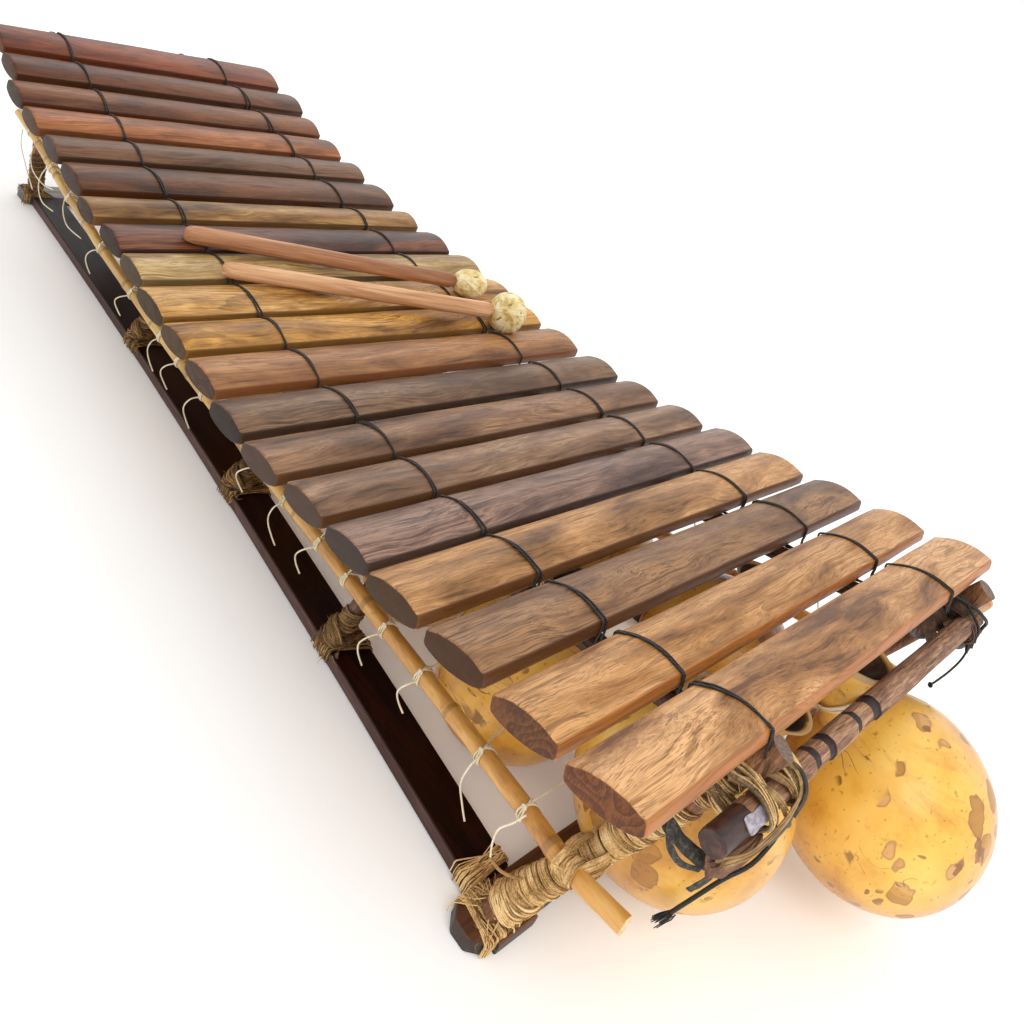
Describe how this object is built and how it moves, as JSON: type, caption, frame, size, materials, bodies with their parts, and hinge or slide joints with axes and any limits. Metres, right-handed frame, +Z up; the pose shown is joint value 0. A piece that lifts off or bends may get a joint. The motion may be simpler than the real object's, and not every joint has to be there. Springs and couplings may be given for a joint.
{
  "type": "gourd resonated frame xylophone",
  "caption": "Long frame xylophone: rounded wooden bars tied over a sagging stick frame, hollow gourds hung below in two rows, with two loose mallets lying on the bars.",
  "frame": {"origin": "middle of the bounding box footprint, on the floor the base boards stand on", "axes": "+Z up; +Y along the row of bars from the long low-pitched bars to the short high-pitched bars; +X along the bars, to the right of a player looking along +Y"},
  "size_m": [0.5472, 1.3196, 0.2354],
  "materials": {
    "bar_dark": "oiled satin",
    "bar_red": "oiled satin",
    "bar_brown": "oiled satin",
    "bar_tan": "oiled satin",
    "bar_gold": "oiled satin",
    "base_wood": "stained, semi-gloss",
    "leg_wood": "weathered",
    "rail_wood": "weathered",
    "slat_wood": "weathered, dark",
    "cane": "natural gloss",
    "black_cord": "matt",
    "gourd": "polished skin",
    "grip_wood": "sanded",
    "rubber_strip": "matt"
  },
  "bodies": {
    "frame": {"base_board_left": "base_wood", "base_board_right": "base_wood", "base_cross_near": "base_wood", "base_cross_far": "base_wood", "leg_near_left": "leg_wood", "leg_near_right": "leg_wood", "leg_far_left": "leg_wood", "leg_far_right": "leg_wood", "strut_left_1": "leg_wood", "strut_left_2": "leg_wood", "strut_left_3": "leg_wood", "strut_right_1": "leg_wood", "strut_right_2": "leg_wood", "strut_right_3": "leg_wood", "rail_left": "rail_wood", "rail_right": "rail_wood", "slat_near": "slat_wood", "slat_far": "slat_wood", "cane_left": "cane", "cane_right": "cane", "bed_cord_left": "black_cord", "bed_cord_right": "black_cord", "gourd_01": "gourd", "gourd_02": "gourd", "gourd_03": "gourd", "gourd_04": "gourd", "gourd_05": "gourd", "gourd_06": "gourd", "gourd_07": "gourd", "gourd_08": "gourd", "gourd_09": "gourd", "gourd_10": "gourd", "gourd_11": "gourd", "gourd_12": "gourd", "gourd_13": "gourd", "gourd_14": "gourd"},
    "bar_01": {"bar_01": "bar_tan"},
    "bar_02": {"bar_02": "bar_dark"},
    "bar_03": {"bar_03": "bar_dark"},
    "bar_04": {"bar_04": "bar_tan"},
    "bar_05": {"bar_05": "bar_dark"},
    "bar_06": {"bar_06": "bar_dark"},
    "bar_07": {"bar_07": "bar_red"},
    "bar_08": {"bar_08": "bar_dark"},
    "bar_09": {"bar_09": "bar_gold"},
    "bar_10": {"bar_10": "bar_gold"},
    "bar_11": {"bar_11": "bar_gold"},
    "bar_12": {"bar_12": "bar_tan"},
    "bar_13": {"bar_13": "bar_dark"},
    "bar_14": {"bar_14": "bar_brown"},
    "bar_15": {"bar_15": "bar_brown"},
    "bar_16": {"bar_16": "bar_dark"},
    "bar_17": {"bar_17": "bar_tan"},
    "bar_18": {"bar_18": "bar_brown"},
    "bar_19": {"bar_19": "bar_gold"},
    "bar_20": {"bar_20": "bar_gold"},
    "mallet_a": {"mallet_a_handle": "grip_wood", "mallet_a_head": "rubber_strip"},
    "mallet_b": {"mallet_b_handle": "grip_wood", "mallet_b_head": "rubber_strip"}
  },
  "joints": [
    {"name": "bar_01_give", "type": "slide", "parent": "frame", "child": "bar_01", "axis": [0, 0, 1], "range_m": [-0.002, 0], "stiffness_N_per_m": 3000, "springref_m": 0.002},
    {"name": "bar_02_give", "type": "slide", "parent": "frame", "child": "bar_02", "axis": [0, 0, 1], "range_m": [-0.002, 0], "stiffness_N_per_m": 3000, "springref_m": 0.002},
    {"name": "bar_03_give", "type": "slide", "parent": "frame", "child": "bar_03", "axis": [0, 0, 1], "range_m": [-0.002, 0], "stiffness_N_per_m": 3000, "springref_m": 0.002},
    {"name": "bar_04_give", "type": "slide", "parent": "frame", "child": "bar_04", "axis": [0, 0, 1], "range_m": [-0.002, 0], "stiffness_N_per_m": 3000, "springref_m": 0.002},
    {"name": "bar_05_give", "type": "slide", "parent": "frame", "child": "bar_05", "axis": [0, 0, 1], "range_m": [-0.002, 0], "stiffness_N_per_m": 3000, "springref_m": 0.002},
    {"name": "bar_06_give", "type": "slide", "parent": "frame", "child": "bar_06", "axis": [0, 0, 1], "range_m": [-0.002, 0], "stiffness_N_per_m": 3000, "springref_m": 0.002},
    {"name": "bar_07_give", "type": "slide", "parent": "frame", "child": "bar_07", "axis": [0, 0, 1], "range_m": [-0.002, 0], "stiffness_N_per_m": 3000, "springref_m": 0.002},
    {"name": "bar_08_give", "type": "slide", "parent": "frame", "child": "bar_08", "axis": [0, 0, 1], "range_m": [-0.002, 0], "stiffness_N_per_m": 3000, "springref_m": 0.002},
    {"name": "bar_09_give", "type": "slide", "parent": "frame", "child": "bar_09", "axis": [0, 0, 1], "range_m": [-0.002, 0], "stiffness_N_per_m": 3000, "springref_m": 0.002},
    {"name": "bar_10_give", "type": "slide", "parent": "frame", "child": "bar_10", "axis": [0, 0, 1], "range_m": [-0.002, 0], "stiffness_N_per_m": 3000, "springref_m": 0.002},
    {"name": "bar_11_give", "type": "slide", "parent": "frame", "child": "bar_11", "axis": [0, 0, 1], "range_m": [-0.002, 0], "stiffness_N_per_m": 3000, "springref_m": 0.002},
    {"name": "bar_12_give", "type": "slide", "parent": "frame", "child": "bar_12", "axis": [0, 0, 1], "range_m": [-0.002, 0], "stiffness_N_per_m": 3000, "springref_m": 0.002},
    {"name": "bar_13_give", "type": "slide", "parent": "frame", "child": "bar_13", "axis": [0, 0, 1], "range_m": [-0.002, 0], "stiffness_N_per_m": 3000, "springref_m": 0.002},
    {"name": "bar_14_give", "type": "slide", "parent": "frame", "child": "bar_14", "axis": [0, 0, 1], "range_m": [-0.002, 0], "stiffness_N_per_m": 3000, "springref_m": 0.002},
    {"name": "bar_15_give", "type": "slide", "parent": "frame", "child": "bar_15", "axis": [0, 0, 1], "range_m": [-0.002, 0], "stiffness_N_per_m": 3000, "springref_m": 0.002},
    {"name": "bar_16_give", "type": "slide", "parent": "frame", "child": "bar_16", "axis": [0, 0, 1], "range_m": [-0.002, 0], "stiffness_N_per_m": 3000, "springref_m": 0.002},
    {"name": "bar_17_give", "type": "slide", "parent": "frame", "child": "bar_17", "axis": [0, 0, 1], "range_m": [-0.002, 0], "stiffness_N_per_m": 3000, "springref_m": 0.002},
    {"name": "bar_18_give", "type": "slide", "parent": "frame", "child": "bar_18", "axis": [0, 0, 1], "range_m": [-0.002, 0], "stiffness_N_per_m": 3000, "springref_m": 0.002},
    {"name": "bar_19_give", "type": "slide", "parent": "frame", "child": "bar_19", "axis": [0, 0, 1], "range_m": [-0.002, 0], "stiffness_N_per_m": 3000, "springref_m": 0.002},
    {"name": "bar_20_give", "type": "slide", "parent": "frame", "child": "bar_20", "axis": [0, 0, 1], "range_m": [-0.002, 0], "stiffness_N_per_m": 3000, "springref_m": 0.002},
    {"name": "mallet_a_lift", "type": "slide", "parent": "frame", "child": "mallet_a", "axis": [0, 0, 1], "range_m": [0, 0.25]},
    {"name": "mallet_b_lift", "type": "slide", "parent": "frame", "child": "mallet_b", "axis": [0, 0, 1], "range_m": [0, 0.25]}
  ]
}
